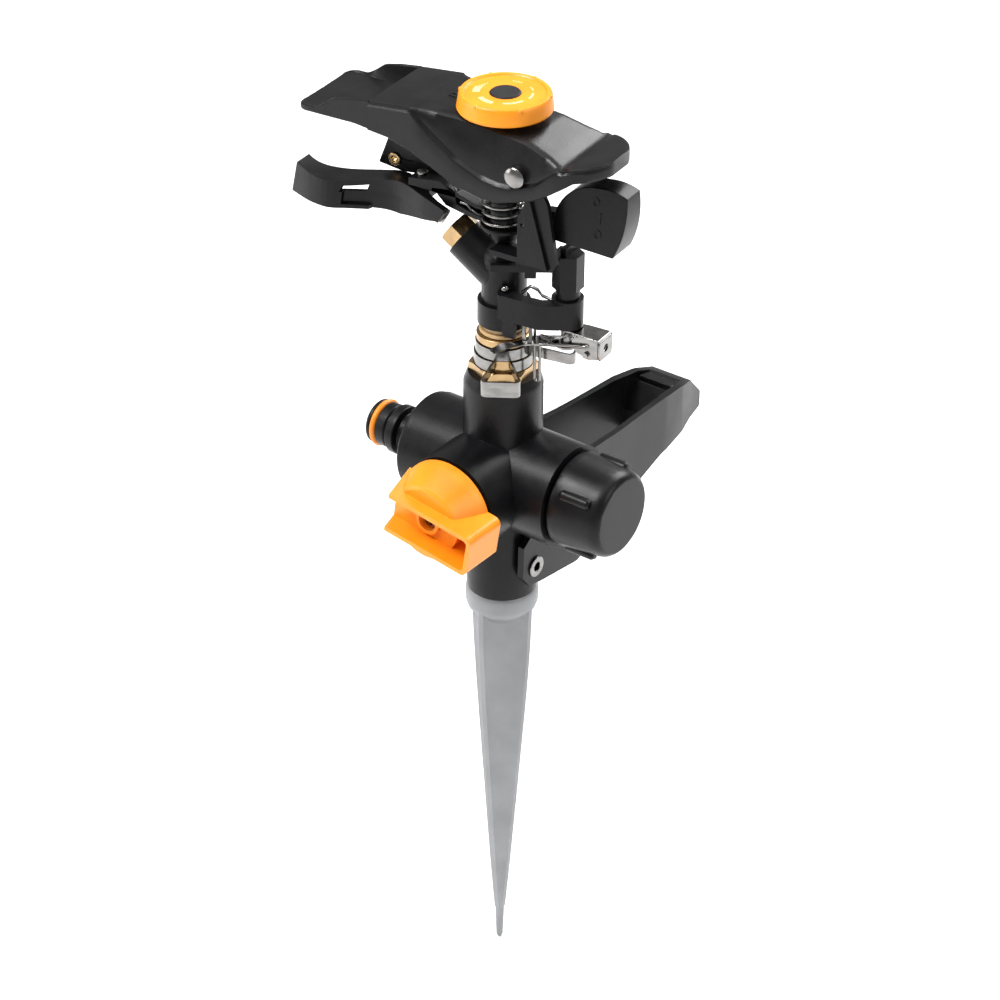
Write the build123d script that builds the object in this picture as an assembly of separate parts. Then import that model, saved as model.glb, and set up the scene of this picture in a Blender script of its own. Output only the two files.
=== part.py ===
from build123d import *
import os
from math import cos, sin, radians, sqrt, hypot

# Impact sprinkler on a ground spike. Units are millimetres, +Z is up.
# The origin is on the vertical axis, at the seat where the spike meets the valve body.
# -X is the hose inlet, +X the capped outlet, -Y the valve knob, +Y the foot pedal.
# The turning head is drawn with its jet along -X and is then turned to its place.

# ---- driving dimensions ----
HEAD_YAW = 5.5            # how far the head stands turned about +Z, degrees
FIT = 0.06                # radial clearance of a running fit

SPIKE_LENGTH = 160.8      # seat to tip
SPIKE_RIB_R = 12.5        # rib crest radius at the top
SPIKE_RIB_HALF = 1.0      # half of a rib's thickness
SPIKE_TANG_R = 8.0
SPIKE_TANG_H = 22.0

PORT_Z = 46.4             # height of the horizontal port axes
PORT_R = 18.3
PORT_FACE = 30.0          # distance of the port faces from the vertical axis
STEM_R = 12.4
NECK_R = 13.6
NECK_TOP = 86.2
VALVE_BORE_R = 9.0
WATERWAY_R = 4.5

GRIP_TURN = 9.0           # lean of the knob's grip, degrees

NOSE_R = 7.95             # quick-connector nose
NOSE_COLLAR_R = 8.9
NOSE_END = 54.75

STUB_R = 13.2             # threaded outlet stub
STUB_END = 43.5
CAP_START = 30.4
CAP_END = 50.0
CAP_WALL_R = 16.9

PEDAL_PIVOT = (-1.5, 13.5)    # y and z of the rivet that the pedal turns on
RIVET_R = 2.6
PEDAL_LENGTH = 113.0

COLUMN_R = 8.4            # brass column that carries the two collars
SPINDLE_R = 5.24          # brass tube that the head turns on
TUBE_R = 7.6              # water tube of the head
TUBE_BOTTOM = 104.9
TUBE_TOP = 131.0

NOZZLE_TILT = 54.9        # nozzle axis from the vertical, degrees
NOZZLE_FACE = (-14.8, 132.15)     # x and z of the centre of the nozzle boss face

POST_X = 24.3             # trip post, from the head's axis
SHAFT_R = 2.0             # steel shaft that the hammer turns on

HOOD_PIN = (13.6, 168.0)  # x and z of the hood's side pins
HOOD_HALF = 17.0          # half width of the hood's skirts
DIAL_R = 15.8
DIAL_BASE = 182.3

BOTTOM = (Align.CENTER, Align.CENTER, Align.MIN)
os.makedirs("parts", exist_ok=True)
parts = {}


# ---- helpers ----
def rod(radius, z0, z1, x=0.0, y=0.0):
    """Upright cylinder."""
    return Pos(x, y, z0) * Cylinder(radius, z1 - z0, align=BOTTOM)


def rod_x(radius, x0, x1, y=0.0, z=0.0):
    """Cylinder along X."""
    return Pos(x0, y, z) * Rot(0, 90, 0) * Cylinder(radius, x1 - x0, align=BOTTOM)


def rod_y(radius, y0, y1, x=0.0, z=0.0):
    """Cylinder along Y."""
    return Pos(x, y0, z) * Rot(-90, 0, 0) * Cylinder(radius, y1 - y0, align=BOTTOM)


def ring(outer, inner, z0, z1, x=0.0, y=0.0):
    """Upright ring."""
    return rod(outer, z0, z1, x, y) - rod(inner, z0 - 1, z1 + 1, x, y)


def block(x0, x1, y0, y1, z0, z1):
    """Box from its limits."""
    return Pos((x0 + x1) / 2, (y0 + y1) / 2, (z0 + z1) / 2) * Box(x1 - x0, y1 - y0, z1 - z0)


def outline(points, radius=0.0):
    """Closed flat outline in the XY plane, with rounded corners if a radius is given."""
    if radius:
        return make_face(FilletPolyline(*points, radius=radius, close=True))
    return make_face(Polyline(*points, close=True))


def slab_x(points, x0, x1, radius=0.0):
    """Outline of (y, z) points, drawn out along X."""
    return Pos(x0, 0, 0) * extrude(Plane.YZ * outline(points, radius), amount=x1 - x0)


def slab_y(points, y0, y1, radius=0.0):
    """Outline of (x, z) points, drawn out along Y."""
    return Pos(0, y1, 0) * extrude(Plane.XZ * outline(points, radius), amount=y1 - y0)


def slab_z(points, z0, z1, radius=0.0):
    """Outline of (x, y) points, drawn out along Z."""
    return Pos(0, 0, z0) * extrude(Plane.XY * outline(points, radius), amount=z1 - z0)


def turned(points):
    """Solid of revolution about Z from (radius, z) points."""
    return revolve(Plane.XZ * outline(points), Axis.Z)


def turned_x(points, z=PORT_Z):
    """Solid of revolution about the X port axis from (radius, x) points."""
    return Pos(0, 0, z) * Rot(0, 90, 0) * turned(points)


def turned_y(points, z=PORT_Z):
    """Solid of revolution about the Y port axis from (radius, y) points."""
    return Pos(0, 0, z) * Rot(-90, 0, 0) * turned(points)


def hexagon(across_flats, z0, z1, turn=0.0):
    """Upright hexagonal prism."""
    face = RegularPolygon(across_flats / sqrt(3), 6)
    return Pos(0, 0, z0) * Rot(0, 0, turn) * extrude(face, amount=z1 - z0)


def o_ring(middle_r, section_r):
    """Rubber ring lying in the XY plane."""
    return Torus(middle_r, section_r)


def wire(points, radius, bend):
    """Round wire along rounded straight runs."""
    path = FilletPolyline(*points, radius=bend)
    start = Plane(origin=path @ 0, z_dir=path % 0)
    return sweep(start * Circle(radius), path=path)


def head_point(side, out, z):
    """Point in the head given across and along the head's 60 degree working face."""
    across, along = radians(30), radians(-60)
    return (side * cos(across) + out * cos(along), side * sin(across) + out * sin(along), z)


def save(name, shape, in_head=False):
    """Keep a finished piece, turned with the head if it belongs to it."""
    parts[name] = Rot(0, 0, HEAD_YAW) * shape if in_head else shape


# ---- ground spike ----
def spike_section(rib_r, z):
    """Cross of four ribs joined by hollow flutes."""
    w = SPIKE_RIB_HALF
    middle = 1.15 * rib_r
    flute_r = hypot(rib_r * 0.15, middle - w)
    near = (middle * sqrt(2) - flute_r) / sqrt(2)
    edges = []
    for k in range(4):
        turn = Rot(0, 0, 90 * k)
        edges.append(turn * Line((rib_r, -w), (rib_r, w)))
        edges.append(turn * ThreePointArc((rib_r, w), (near, near), (w, rib_r)))
    return Pos(0, 0, z) * make_face(Curve() + edges)


def make_spike():
    rib_sizes = [(SPIKE_RIB_R, -4.0), (10.9, -40.0), (8.5, -70.0), (5.3, -108.0), (1.75, -146.0)]
    shaft = loft([spike_section(r, z) for r, z in rib_sizes])
    collar = turned([(0, 0), (12.2, 0), (12.9, -1.4), (12.9, -5.5), (12.2, -8.0), (9.0, -11.5), (0, -11.5)])
    tip = turned([(0, -143), (1.75, -143), (1.6, -150), (1.25, -159.6), (0.7, -SPIKE_LENGTH + 0.2),
                  (0, -SPIKE_LENGTH)])
    tang = rod(SPIKE_TANG_R, -2, SPIKE_TANG_H)
    y, z = PEDAL_PIVOT
    return shaft + collar + tip + tang - rod_x(RIVET_R, -20, 20, y, z)


save("ground_spike", make_spike())


# ---- valve body ----
def make_hub():
    stem = turned([(0, 0), (12.2, 0), (STEM_R, 1.2), (STEM_R + 0.5, 34), (0, 34)])
    inlet_arm = rod_x(PORT_R, -PORT_FACE, 0, 0, PORT_Z)
    outlet_arm = rod_x(PORT_R, 0, PORT_FACE - 0.7, 0, PORT_Z)
    valve_arm = rod_y(PORT_R, -PORT_FACE, 0, 0, PORT_Z)
    neck = turned([(0, 46), (NECK_R, 46), (NECK_R, 82), (12.1, NECK_TOP), (0, NECK_TOP)])
    stub = rod_x(STUB_R, 20, STUB_END, 0, PORT_Z)
    body = stem + inlet_arm + outlet_arm + valve_arm + neck + stub
    for x in (34.0, 36.4, 38.8, 41.2):
        body -= turned_x([(STUB_R - 0.6, x - 0.3), (STUB_R + 0.1, x - 0.7), (STUB_R + 0.1, x + 0.7),
                          (STUB_R - 0.6, x + 0.3)])
    body -= rod_y(VALVE_BORE_R, -31, 10.2, 0, PORT_Z)
    body -= rod_x(8.0, -31, -20.5, 0, PORT_Z)
    body -= rod_x(WATERWAY_R, -31, 45, 0, PORT_Z)
    body -= rod(WATERWAY_R, PORT_Z, 62)
    body -= rod(7.4, 61, 68.4)
    body -= rod(8.6, 66.4, 90)
    body -= rod(SPIKE_TANG_R, -1, SPIKE_TANG_H)
    y, z = PEDAL_PIVOT
    return body - rod_x(RIVET_R, -20, 20, y, z)


save("valve_body", make_hub())

# ---- hose inlet ----
flange = turned_x([(0, -32.8), (17.2, -32.8), (17.8, -32.2), (17.8, -30.0), (0, -30.0)])
nose_profile = [(0, -30), (7.95, -30), (7.95, -21), (0, -21)]
nipple = flange + turned_x(nose_profile)
nipple += turned_x([
    (0, -NOSE_END), (7.0, -NOSE_END), (NOSE_R, -53.9), (NOSE_R, -52.7), (6.3, -52.7), (6.3, -50.1),
    (NOSE_R, -50.1), (NOSE_R, -46.6), (7.3, -46.2), (7.3, -45.2), (NOSE_COLLAR_R, -44.9),
    (NOSE_COLLAR_R, -41.9), (6.7, -41.2), (6.7, -33.8), (7.6, -32.8), (0, -32.8)])
nipple -= rod_x(WATERWAY_R, -60, -20, 0, PORT_Z)
nipple -= turned_x([(9.4, -31.2), (12.0, -31.2), (12.0, -29), (9.4, -29)])
save("inlet_nipple", nipple)
save("inlet_gasket", turned_x([(9.4, -31.2), (12.0, -31.2), (12.0, -30.0), (9.4, -30.0)]))
save("inlet_o_ring", Pos(-51.4, 0, PORT_Z) * Rot(0, 90, 0) * o_ring(7.45, 1.1))


# ---- valve ----
def make_knob():
    """Round knob with a boxed grip across its face; the grip points at the open way."""
    dome = turned_y([(0, -43.6), (12.4, -43.6), (13.6, -42.9), (17.8, -32.6), (17.8, -31.2), (16.6, -30.4),
                     (0, -30.4)])
    grip = slab_y([(-17.5, 7.7), (21.9, 7.7), (21.9, -7.7), (-17.5, -7.7)], -48.2, -31.4)
    grip -= slab_z([(-22, -31), (-17.2, -31), (-12.6, -49), (-22, -49)], -9, 9)
    grip = fillet(grip.edges().filter_by(Axis.Y).group_by(Axis.X)[-1], 2.6)
    trough = fillet(slab_y([(-30, 6.1), (20.3, 6.1), (20.3, -6.1), (-30, -6.1)], -50, -40.8)
                    .edges().filter_by(Axis.Y).group_by(Axis.X)[-1], 1.4)
    end_pocket = fillet(slab_y([(5.0, 6.1), (20.3, 6.1), (20.3, -6.1), (5.0, -6.1)], -45, -33.6)
                        .edges().filter_by(Axis.Y).group_by(Axis.X)[-1], 1.4)
    end_pocket -= rod_y(11.8, -46, -30)
    lean = Pos(0, 0, PORT_Z) * Rot(0, GRIP_TURN, 0)
    knob = dome + lean * grip - lean * (trough + end_pocket)
    knob += rod_y(4.7, -42.4, -40, 0, PORT_Z)
    knob -= rod_y(3.4, -50, -37.6, 0, PORT_Z)
    knob -= rod_y(1.6, -40, -29, 0, PORT_Z)
    return knob - rod_y(5.0, -36, -29, 0, PORT_Z)


save("valve_knob", make_knob())

plug = rod_y(VALVE_BORE_R - FIT, -29.4, 9.6, 0, PORT_Z) + rod_y(5.0, -36, -29, 0, PORT_Z)
plug -= rod_x(WATERWAY_R - 0.3, -12, 12, 0, PORT_Z) + rod(WATERWAY_R - 0.3, PORT_Z, PORT_Z + 12)
for y in (-26.0, -13.0):
    plug -= turned_y([(7.45, y - 0.9), (10, y - 0.9), (10, y + 0.9), (7.45, y + 0.9)])
plug -= rod_y(1.5, -37, -20, 0, PORT_Z)
save("valve_plug", plug)
save("valve_o_rings", Compound(children=[
    Pos(0, y, PORT_Z) * Rot(90, 0, 0) * o_ring(8.2, 0.7) for y in (-26.0, -13.0)]))
screw = rod_y(3.0, -40.0, -37.6, 0, PORT_Z) + rod_y(1.5, -38, -21, 0, PORT_Z)
screw -= block(-0.5, 0.5, -41, -39, PORT_Z - 2.4, PORT_Z + 2.4)
screw -= block(-2.4, 2.4, -41, -39, PORT_Z - 0.5, PORT_Z + 0.5)
save("valve_screw", screw)

# ---- outlet cap ----
cap = turned_x([(13.6, CAP_START), (CAP_WALL_R - 0.4, CAP_START), (CAP_WALL_R, CAP_START + 0.8),
                (15.6, 46.2), (15.1, 48.2), (14.2, 49.4), (13.2, CAP_END), (0, CAP_END), (0, 46.9),
                (13.6, 46.9)])
for angle in (55, 145, 235, 325):
    grip_rib = Pos(0, 15.6, 0) * turned_x([(0, 33.4), (1.2, 33.4), (2.0, 34.6), (2.0, 44.4), (1.3, 45.6), (0, 45.6)])
    grip_rib -= rod_x(14.4, 30, 50, 0, PORT_Z)
    cap += Pos(0, 0, PORT_Z) * Rot(angle, 0, 0) * Pos(0, 0, -PORT_Z) * grip_rib
save("end_cap", cap)
save("cap_washer", turned_x([(4.0, 43.9), (12.6, 43.9), (12.6, 46.8), (4.0, 46.8)]))


# ---- foot pedal ----
def make_pedal():
    """Fork of two cheeks that straddle the stem, joined by a ramp and a stepped tread."""
    side = [(-4.5, 26.8), (-8.4, 24.0), (-8.8, 12), (-5.0, 7.2), (2.0, 5.6), (24, 2.6), (60, 12.6), (80, 17.8),
            (112.5, 21.0), (PEDAL_LENGTH, 22.0), (PEDAL_LENGTH, 27.4), (103.6, 36.8), (94, 39.4), (82, 40.8),
            (68, 41.4), (50, 42.2), (34, 43.8), (20.5, 46.0)]
    half_plan = [(15.5, -9), (15.5, 22), (14.2, 40), (12.9, 62), (12.0, 84), (10.6, 96), (8.2, 104.5),
                 (6.8, PEDAL_LENGTH)]
    plan = half_plan + [(-x, y) for x, y in reversed(half_plan)]
    half_slot = [(13.1, -12), (13.1, 22), (11.8, 40), (10.6, 62), (9.6, 80), (8.8, 86)]
    slot = half_slot + [(-x, y) for x, y in reversed(half_slot)]
    body = slab_x(side, -16, 16) & slab_z(plan, -5, 60)
    body -= slab_z(slot, -10, 70)
    body -= rod_x(PORT_R + 0.5, -17, 17, 0, PORT_Z)
    well = slab_z([(-8.8, 85), (8.8, 85), (8.2, 94), (6.2, 100.5), (-6.2, 100.5), (-8.2, 94)], 20, 60)
    ramp = [(84, 60), (84, 27.0), (86.0, 27.0), (92.4, 36.2), (94.6, 36.9), (95.2, 36.3), (97.4, 37.6), (98.0, 37.0),
            (101, 38.6), (101, 60)]
    body -= well & slab_x(ramp, -10, 10)
    body -= slab_z([(-8.0, 88), (8.0, 88), (5.4, 108), (-5.4, 108)], 0, 25.0)
    y, z = PEDAL_PIVOT
    return body - rod_x(RIVET_R + FIT, -20, 20, y, z)


save("foot_pedal", make_pedal())
pivot_y, pivot_z = PEDAL_PIVOT
rivet = rod_x(RIVET_R, -16.2, 16.2, pivot_y, pivot_z)
for x in (-16.3, 15.6):
    rivet += rod_x(3.8, x, x + 0.7, pivot_y, pivot_z)
rivet -= rod_x(1.7, -17, 17, pivot_y, pivot_z)
save("pedal_rivet", rivet)

# ---- brass bearing base ----
hex_nut = hexagon(20.6, NECK_TOP, 89.7, turn=HEAD_YAW + 30)
hex_nut &= turned([(0, NECK_TOP), (12.0, NECK_TOP), (12.0, 88.6), (10.4, 89.7), (0, 89.7)])
base = hex_nut + rod(8.56, 68.4, 86.4)
base += turned([(0, 89), (8.9, 89), (8.9, 93.7), (COLUMN_R - 0.6, 93.9), (COLUMN_R, 94.3), (COLUMN_R, 98.2),
                (9.2, 98.7), (9.2, 101.0), (8.7, 101.3), (0, 101.3)])
base -= rod(SPINDLE_R + FIT, 60, 110)
save("bearing_base", base)
save("bearing_seal", ring(7.3, SPINDLE_R + 0.3, 66.6, 68.3))


# ---- arc collars ----
def make_collar(inner, outer, z0, z1, reach, direction, leg_bottom, plate_bottom):
    """Spring-steel band with a trapezoid thumb loop that points in the given direction."""
    band = ring(outer, inner, z0, z1)
    mouth = slab_z([(0, 0), (outer + 1, 0.30 * (outer + 1)), (outer + 1, -0.30 * (outer + 1))], z0 - 1, z1 + 1)
    outer_loop = [(outer - 1.0, 3.4), (reach, 7.2), (reach, -7.2), (outer - 1.0, -3.4)]
    inner_loop = [(outer - 4.0, 1.7), (reach - 0.9, 6.2), (reach - 0.9, -6.2), (outer - 4.0, -1.7)]
    low = min(leg_bottom, plate_bottom)
    loop = slab_z(outer_loop, low, z1, 2.0) - slab_z(inner_loop, low - 1, z1 + 1, 1.4)
    loop -= rod(inner, low - 1, z1 + 1)
    if leg_bottom > low:
        loop -= block(0, reach - 2.6, -12, 12, low - 1, leg_bottom)
    return Rot(0, 0, direction) * (band - mouth + loop)


save("collar_lower", make_collar(9.2, 10.1, 90.0, 93.8, 23.0, -56.0, 90.6, 88.2))
save("collar_upper", make_collar(8.8, 9.6, 94.3, 98.1, 25.4, 24.5, 94.3, 94.3))

# ---- turning head: water tube and bearing ----
spindle = rod(SPINDLE_R, 64.4, 113.0) + rod(6.6, 64.4, 66.4) - rod(3.2, 60, 120)
save("spindle", spindle, True)
save("thrust_washers", Compound(children=[ring(8.3, 5.3, 101.5, 102.8), ring(7.4, 5.3, 102.9, 104.8)]), True)


def nozzle_frame():
    """Place of the nozzle boss face, with +Z along the jet."""
    x, z = NOZZLE_FACE
    return Pos(x, 0, z) * Rot(0, -NOZZLE_TILT, 0)


PIP_X, PIP_Y, PIP_Z = head_point(0.4, 7.4, 121.3)
pip_seat = Pos(PIP_X, PIP_Y, PIP_Z) * Rot(0, 0, -60) * Rot(0, 90, 0)


def make_head_body():
    tube = turned([(0, TUBE_BOTTOM), (TUBE_R, TUBE_BOTTOM), (TUBE_R, 129.0), (TUBE_R - 0.6, TUBE_TOP), (4.2, 134.0),
                   (5.3, 137.2), (5.3, 139.4), (0, 139.4)])
    boss = nozzle_frame() * Cylinder(TUBE_R, 16.0, align=(Align.CENTER, Align.CENTER, Align.MAX))
    foot = slab_z([(0, -9.8), (23.0, -9.8), (23.0, -8.0), (9, -4), (0, -4)], 133.6, 135.6)
    upright = slab_y([(10.6, 133.6), (23.8, 133.6), (25.4, 136.6), (21.8, 157.0), (18.4, 163.5), (11.0, 163.5),
                      (13.4, 156.0), (10.6, 149.6)], -9.8, -8.0)
    stiffener = slab_y([(21.0, 134.2), (22.6, 134.2), (15.2, 160.0), (13.4, 160.0)], -11.0, -9.7)
    body = tube + boss + foot + upright + stiffener
    body -= rod(5.3, TUBE_BOTTOM - 1, 113.1)
    body -= rod(3.4, 112, 124.0)
    body -= nozzle_frame() * Pos(0, 0, -15) * Cylinder(3.4, 12, align=BOTTOM)
    body -= nozzle_frame() * Pos(0, 0, -7) * Cylinder(4.95, 8, align=BOTTOM)
    body -= rod(SHAFT_R, 129.5, 150)
    body -= rod_y(0.7, -11, -7, 12.4, 147.6)
    return body - pip_seat * Cylinder(0.95, 4)


save("head_body", make_head_body(), True)

nozzle = hexagon(11.4, 0, 5.2) & turned([(0, 0), (7.0, 0), (7.0, 4.4), (5.9, 5.2), (0, 5.2)])
nozzle += Pos(0, 0, -6.8) * Cylinder(4.9, 7.0, align=BOTTOM)
nozzle -= turned([(0, -7), (3.6, -7), (2.0, 2.6), (2.0, 4.2), (2.9, 6), (0, 6)])
save("nozzle", nozzle_frame() * nozzle, True)

# ---- arm bracket that carries the trip post ----
arm_outer = [head_point(-2.2, 8.2, 0), head_point(-1.9, 10.6, 0), head_point(5.0, 14.2, 0),
             head_point(11.3, 17.6, 0), head_point(18.0, 17.8, 0), head_point(21.0, 17.0, 0)]
arm_inner = [head_point(21.0, 12.6, 0), head_point(12.8, 13.4, 0), head_point(6.4, 10.4, 0),
             head_point(4.4, 7.4, 0)]
arm_plan = [(p[0], p[1]) for p in arm_outer + arm_inner]
bracket = rod(8.9, 105.0, 113.2) + slab_z(arm_plan, 110.8, 119.8)
bracket += rod(5.35, 110.4, 120.6, POST_X) + block(4.0, 8.6, -7.9, -6.2, 103.6, 111.2)
bracket -= rod(TUBE_R, 100, 125)
bracket -= rod(2.0, 100, 125, POST_X)
save("arm_bracket", bracket, True)
pip = pip_seat * (Cylinder(0.9, 3.0) + Pos(0, 0, 1.5) * Sphere(1.15))
save("arm_pin", pip, True)

strip_line = [(6.1, 116.6), (6.3, 119.2), (8.8, 121.6), (11.0, 120.4), (12.6, 118.2), (16.4, 116.4)]
strip_back = [(16.6, 117.0), (12.8, 118.9), (11.4, 121.1), (8.8, 122.4), (5.7, 119.8), (5.5, 116.6)]
strip = slab_y(strip_line + strip_back, -8.8, -7.4)
save("brake_strip", Rot(0, 0, 30) * strip - rod(5.36, 110, 120.7, POST_X), True)

# ---- trip gear on the post ----
post_hex = Pos(POST_X, 0, 0) * hexagon(9.2, 124.2, 136.8, turn=30)
catch = post_hex + rod(4.1, 120.9, 124.4, POST_X)
bar_corners = [head_point(-4.4, 8.3, 0), head_point(-4.4, 10.3, 0), head_point(17.0, 10.3, 0),
               head_point(20.8, 13.0, 0), head_point(20.8, 8.0, 0)]
catch += slab_z([(p[0], p[1]) for p in bar_corners], 128.2, 130.6)
catch += slab_z([head_point(6.8, 8.3, 0)[:2], head_point(6.8, 10.0, 0)[:2], head_point(10.6, 10.0, 0)[:2],
                 head_point(10.6, 8.3, 0)[:2]], 125.8, 128.4)
catch += block(POST_X - 1.0, POST_X + 1.0, -3.6, 3.6, 136.0, 139.6)
catch -= rod(1.6 + FIT, 120, 134.3, POST_X)
save("reversing_catch", catch, True)

# Steel parts below the arm: post pin, bent cheek bracket, leaf lever, over-centre wire and trip finger.
post_pin = rod(1.6, 102, 134, POST_X) + rod(2.0, 102, 120.7, POST_X) + rod(3.0, 101.9, 102.8, POST_X)
save("post_pin", post_pin, True)

cheek = block(POST_X - 3.5, 39.2, -3.6, 3.6, 109.2, 110.0)
cheek += block(38.4, 39.2, -3.6, 3.6, 100.6, 110.0)
cheek += slab_y([(POST_X - 1.0, 109.8), (39.2, 109.8), (39.2, 100.6), (33.0, 98.8), (29.0, 101.5)], -4.4, -3.6)
cheek += slab_y([(POST_X - 1.0, 109.8), (39.2, 109.8), (39.2, 100.6), (33.0, 98.8), (29.0, 101.5)], 3.6, 4.4)
cheek -= rod(2.0 + FIT, 100, 112, POST_X)
cheek -= rod_x(1.3, 37, 41, 0, 105.2)
cheek -= rod_y(1.0, -6, 6, 34.0, 103.6)
save("trip_cheek", cheek, True)
roller = rod_y(1.0, -5.2, 5.2, 34.0, 103.6) + rod_y(2.6, -2.8, 2.8, 34.0, 103.6)
save("trip_roller", roller, True)


FINGER_X = (13.2, 15.2)
FINGER_Y = -2.0


def make_leaf():
    """Flat spring-steel lever: broad in the middle, a low tip in front and a raised fork behind."""
    plan = [(2.6, -13.2), (9.0, -8.2), (16.0, -4.4), (21.0, -3.6), (28.6, -3.0), (28.6, 3.0), (21.0, 4.2),
            (14.0, 7.2), (9.2, 9.2), (7.2, 6.4), (10.8, 1.4), (8.2, -3.0)]
    curve = [(2.0, 99.4), (9.0, 99.9), (16.0, 101.4), (22.0, 103.0), (28.6, 103.0), (28.6, 103.7), (22.0, 103.7),
             (16.0, 102.1), (9.0, 100.6), (2.0, 100.1)]
    leaf = slab_z(plan, 90, 110, 0.5) & slab_y(curve, -20, 20)
    leaf -= rod(2.0 + FIT, 90, 110, POST_X)
    for x in FINGER_X:
        leaf -= rod(0.5, 90, 110, x, FINGER_Y)
    for angle in (0, 4, 8, 12):
        leaf -= Pos(POST_X, 0, 0) * Rot(0, 0, -angle) * rod(9.9, 90, 110, -POST_X)
    return leaf


save("trip_leaf", make_leaf(), True)

finger = wire([(FINGER_X[0], FINGER_Y, 106.0), (FINGER_X[0], FINGER_Y, 86.7), (FINGER_X[1], FINGER_Y, 86.7),
               (FINGER_X[1], FINGER_Y, 104.5), (21.6, FINGER_Y, 104.5)], 0.5, 0.9)
save("trip_finger", finger, True)


# ---- hammer ----
def flowing(points, steps=3):
    """Finely faceted smooth line through the given points."""
    ends = [points[0]] + list(points) + [points[-1]]
    line = []
    for a, b, c, d in zip(ends, ends[1:], ends[2:], ends[3:]):
        for k in range(steps):
            t = k / steps
            line.append(tuple(round(b[i] + 0.5 * t * (c[i] - a[i] + t * (2 * a[i] - 5 * b[i] + 4 * c[i] - d[i]
                              + t * (3 * (b[i] - c[i]) + d[i] - a[i]))), 3) for i in (0, 1)))
    return line + [points[-1]]


def curved_band(near, far, z0, z1):
    """Upright solid between two smooth plan lines of (x, y) points."""
    face = make_face(Polyline(*flowing(near), *flowing(far)[::-1], close=True))
    return Pos(0, 0, z0) * extrude(Plane.XY * face, amount=z1 - z0)


def curved_side(upper, lower, y0, y1):
    """Solid along Y between two smooth side lines of (x, z) points."""
    face = make_face(Polyline(*flowing(upper), *flowing(lower)[::-1], close=True))
    return Pos(0, y1, 0) * extrude(Plane.XZ * face, amount=y1 - y0)


def lifted(line, dx=0.0, dy=0.0):
    """The same line of points, moved."""
    return [(x + dx, y + dy) for x, y in line]


SPOON_NEAR = [(-82, -4.4), (-75.5, -7.2), (-69.7, -9.0), (-63.5, -9.4), (-58.0, -6.8), (-51, -3.6), (-45.5, -2.2),
              (-40.5, -2.2), (-34.0, -4.0), (-27.7, -6.0), (-18.6, -7.6)]
SPOON_FAR = [(-82, 3.0), (-75.5, 0.2), (-70, -0.2), (-64, 1.8), (-55, 5.2), (-47, 6.4), (-41, 5.2), (-36, 3.0),
             (-28, -2.2), (-23, -4.4), (-18.6, -6.2)]
SPOON_CREST = [(-82.0, 146.6), (-75.5, 145.0), (-69.7, 144.0), (-63.6, 143.4), (-57, 143.6), (-50, 144.6),
               (-41.6, 146.4), (-35.5, 146.7), (-27.4, 145.6), (-18.6, 143.4)]


def make_spoon():
    """S-shaped water vane: a paddle, a roof, a fascia and a guide wall with a window above it."""
    outline_side = slab_y([(-76.4, 150), (-80.9, 133.6), (-60.0, 133.6), (-46.0, 133.8), (-40.3, 133.6), (-21.8, 137.6),
                           (-18.8, 142.2), (-18.8, 150)], -16, 12)
    under_roof = curved_side(lifted(SPOON_CREST, dy=-0.6), [(-82, 120), (-50, 120), (-18.6, 120)], -16, 12)
    near_band = curved_band(SPOON_NEAR, lifted(SPOON_NEAR, dy=1.6), 125, 155)
    paddle = slab_y([(-90, 120), (-61.4, 120), (-57.6, 150), (-90, 150)], -16, 12)
    fascia = curved_side([(-63, 155), (-40, 155), (-18, 155)],
                         [(-63, 142.4), (-57, 140.5), (-52.0, 140.2), (-45.0, 141.0), (-35.5, 140.8), (-18, 137.4)],
                         -16, 12)
    window = slab_y([(-59.9, 139.6), (-58.6, 142.6), (-50.6, 142.9), (-51.6, 139.8)], -16, 12)
    near_wall = (near_band & under_roof & paddle) + (near_band & under_roof & fascia) - window
    guide_band = curved_band(lifted(SPOON_NEAR, dy=1.6)[2:], lifted(SPOON_NEAR, dy=3.2)[2:], 125, 155)
    high_wall = slab_y([(-51.6, 120), (-50.6, 150), (-18, 150), (-18, 120)], -16, 12)
    low_wall = slab_y([(-66, 120), (-66, 139.4), (-50, 139.8), (-50, 120)], -16, 12)
    guide = (guide_band & low_wall) + (guide_band & under_roof & high_wall)
    roof = curved_band(SPOON_NEAR, SPOON_FAR, 125, 155)
    roof &= curved_side(SPOON_CREST, lifted(SPOON_CREST, dy=-1.6), -16, 12)
    floor = curved_band(SPOON_NEAR[:6], SPOON_FAR[:5] + [(-50.5, -2.0)], 133.6, 135.0)
    end = curved_band([(-82, -4.4), (-78, -6.2), (-74, -7.8)], [(-82, 3.0), (-78, 1.2), (-74, -0.2)], 125, 155)
    end &= slab_y([(-76.6, 150), (-81.1, 133.4), (-79.3, 133.4), (-74.8, 150)], -16, 12)
    lug = block(-36, -27.4, -2.6, 3.6, 143.6, 147.0)
    pieces = (near_wall, guide, roof, end & under_roof, floor)
    shell = pieces[0] & outline_side
    for wall in pieces[1:]:
        shell += wall & outline_side
    return shell + lug


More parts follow.
